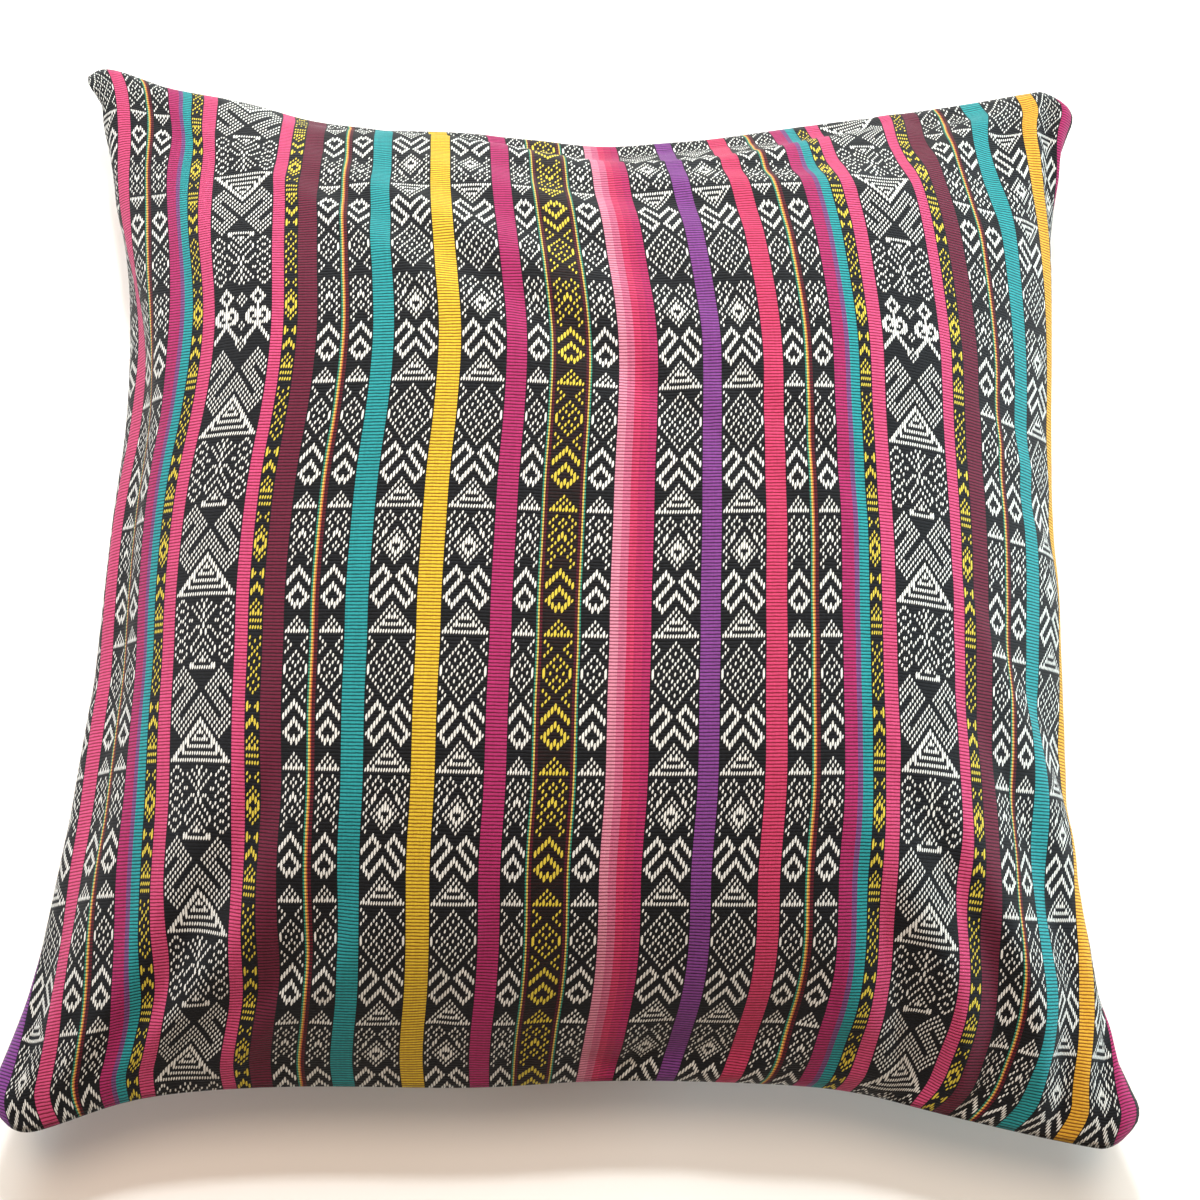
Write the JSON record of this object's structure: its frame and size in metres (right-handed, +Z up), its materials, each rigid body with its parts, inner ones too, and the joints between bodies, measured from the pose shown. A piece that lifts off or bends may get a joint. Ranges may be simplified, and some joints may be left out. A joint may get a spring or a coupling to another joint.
{
  "type": "pillow cover",
  "caption": "Square filled pillow cover lying on its back, with a crowned face, drawn-in sides, soft corner ears and lengthwise woven stripes.",
  "frame": {"origin": "under the middle of the bounding box, level with the flat underside that it rests on", "axes": "+Z up out of the front face, +Y along the stripes to the far side, +X across the stripes to the right"},
  "size_m": [0.4376, 0.4436, 0.128],
  "materials": {
    "woven_cloth": "matte warp-faced woven cotton: ribbed stripes in teal, yellow, magenta, purple, pink and maroon between black columns of raised off-white figures"
  },
  "bodies": {
    "root": {"pillow_cover": "woven_cloth"}
  },
  "joints": []
}
